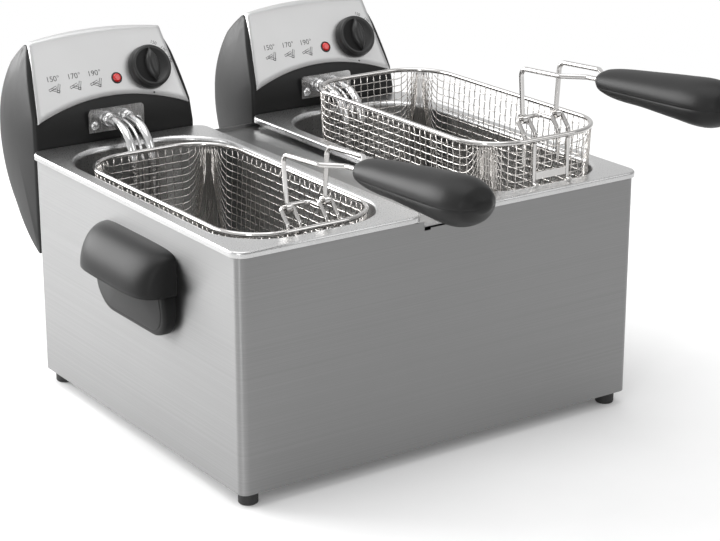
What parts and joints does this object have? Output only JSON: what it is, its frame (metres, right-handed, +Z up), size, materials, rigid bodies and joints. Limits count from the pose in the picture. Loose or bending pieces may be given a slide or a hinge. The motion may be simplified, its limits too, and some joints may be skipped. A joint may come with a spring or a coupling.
{
  "type": "double deep fryer",
  "caption": "Countertop double deep fryer: steel case with lift-out tanks, heads with dial and heating element, wire baskets with folding handles, and side carry handles.",
  "frame": {"origin": "on the standing plane, under the middle of the bounding box", "axes": "+X to the right seen from the front, +Y from the front to the control heads, +Z up"},
  "size_m": [0.454, 0.6192, 0.3326],
  "materials": {
    "casing_steel": "horizontally brushed stainless sheet",
    "base_steel": "plain galvanised sheet",
    "bridge_steel": "satin stainless sheet",
    "tank_steel": "bright drawn stainless",
    "foot_rubber": "matte black",
    "screw_steel": "plain zinc-plated",
    "handle_plastic": "fine matte charcoal",
    "insert_plastic": "fine matte black",
    "head_plastic": "satin black",
    "fascia_silver": "satin silver",
    "lamp_red": "clear red",
    "plate_steel": "satin stainless",
    "element_tube": "polished sheath",
    "thermostat_metal": "plain",
    "switch_plastic": "plain black",
    "terminal_plastic": "ivory",
    "gland_rubber": "matte black",
    "knob_plastic": "satin black",
    "basket_wire": "bright plated wire",
    "basket_mesh": "bright plated woven wire",
    "grip_plastic": "satin charcoal"
  },
  "bodies": {
    "base": {"outer_casing": "casing_steel", "base_plate": "base_steel", "feet": "foot_rubber", "base_screws": "screw_steel", "centre_bridge": "bridge_steel", "rear_rails": "base_steel", "handle_screws": "screw_steel", "side_handle_left": "handle_plastic", "handle_insert_left": "insert_plastic", "side_handle_right": "handle_plastic", "handle_insert_right": "insert_plastic"},
    "left_tank": {"tank_left": "tank_steel"},
    "left_head": {"head_housing_left": "head_plastic", "rear_cover_left": "head_plastic", "fascia_left": "fascia_silver", "pilot_lens_left": "lamp_red", "element_plate_left": "plate_steel", "heating_element_left": "element_tube", "element_screws_left": "screw_steel", "thermostat_left": "thermostat_metal", "sensor_tube_left": "element_tube", "thermal_cutout_left": "thermostat_metal", "safety_switch_left": "switch_plastic", "terminal_block_left": "terminal_plastic", "cord_gland_left": "gland_rubber", "cover_screws_left": "screw_steel"},
    "left_knob": {"knob_left": "knob_plastic", "thermostat_spindle_left": "screw_steel"},
    "left_basket": {"basket_rim_left": "basket_wire", "basket_mesh_left": "basket_mesh", "handle_bracket_left": "basket_wire", "drain_hook_left": "basket_wire"},
    "left_basket_handle": {"handle_wire_left": "basket_wire", "grip_upper_left": "grip_plastic", "grip_lower_left": "grip_plastic"},
    "right_tank": {"tank_right": "tank_steel"},
    "right_head": {"head_housing_right": "head_plastic", "rear_cover_right": "head_plastic", "fascia_right": "fascia_silver", "pilot_lens_right": "lamp_red", "element_plate_right": "plate_steel", "heating_element_right": "element_tube", "element_screws_right": "screw_steel", "thermostat_right": "thermostat_metal", "sensor_tube_right": "element_tube", "thermal_cutout_right": "thermostat_metal", "safety_switch_right": "switch_plastic", "terminal_block_right": "terminal_plastic", "cord_gland_right": "gland_rubber", "cover_screws_right": "screw_steel"},
    "right_knob": {"knob_right": "knob_plastic", "thermostat_spindle_right": "screw_steel"},
    "right_basket": {"basket_rim_right": "basket_wire", "basket_mesh_right": "basket_mesh", "handle_bracket_right": "basket_wire", "drain_hook_right": "basket_wire"},
    "right_basket_handle": {"handle_wire_right": "basket_wire", "grip_upper_right": "grip_plastic", "grip_lower_right": "grip_plastic"}
  },
  "joints": [
    {"name": "left_tank_lift", "type": "slide", "parent": "base", "child": "left_tank", "axis": [0, 0, 1], "range_m": [0, 0.16]},
    {"name": "left_head_lift", "type": "slide", "parent": "left_tank", "child": "left_head", "axis": [0, 0, 1], "range_m": [0, 0.16]},
    {"name": "left_knob_turn", "type": "hinge", "parent": "left_head", "child": "left_knob", "pos_m": [-0.0685, 0.24578, 0.26319], "axis": [0, 0.891, -0.454], "range_deg": [0, 270]},
    {"name": "left_basket_lift", "type": "slide", "parent": "left_head", "child": "left_basket", "axis": [0, 0, 1], "range_m": [0, 0.13]},
    {"name": "left_handle_fold", "type": "hinge", "parent": "left_basket", "child": "left_basket_handle", "pos_m": [-0.1115, -0.07985, 0.2246], "axis": [-1, 0, 0], "range_deg": [0, 175]},
    {"name": "right_tank_lift", "type": "slide", "parent": "base", "child": "right_tank", "axis": [0, 0, 1], "range_m": [0, 0.16]},
    {"name": "right_head_lift", "type": "slide", "parent": "right_tank", "child": "right_head", "axis": [0, 0, 1], "range_m": [0, 0.16]},
    {"name": "right_knob_turn", "type": "hinge", "parent": "right_head", "child": "right_knob", "pos_m": [0.1545, 0.24578, 0.26319], "axis": [0, 0.891, -0.454], "range_deg": [0, 270]},
    {"name": "right_basket_lift", "type": "slide", "parent": "right_head", "child": "right_basket", "axis": [0, 0, 1], "range_m": [0, 0.1]},
    {"name": "right_handle_fold", "type": "hinge", "parent": "right_basket", "child": "right_basket_handle", "pos_m": [0.1115, -0.08835, 0.2634], "axis": [-1, 0, 0], "range_deg": [0, 175]}
  ]
}
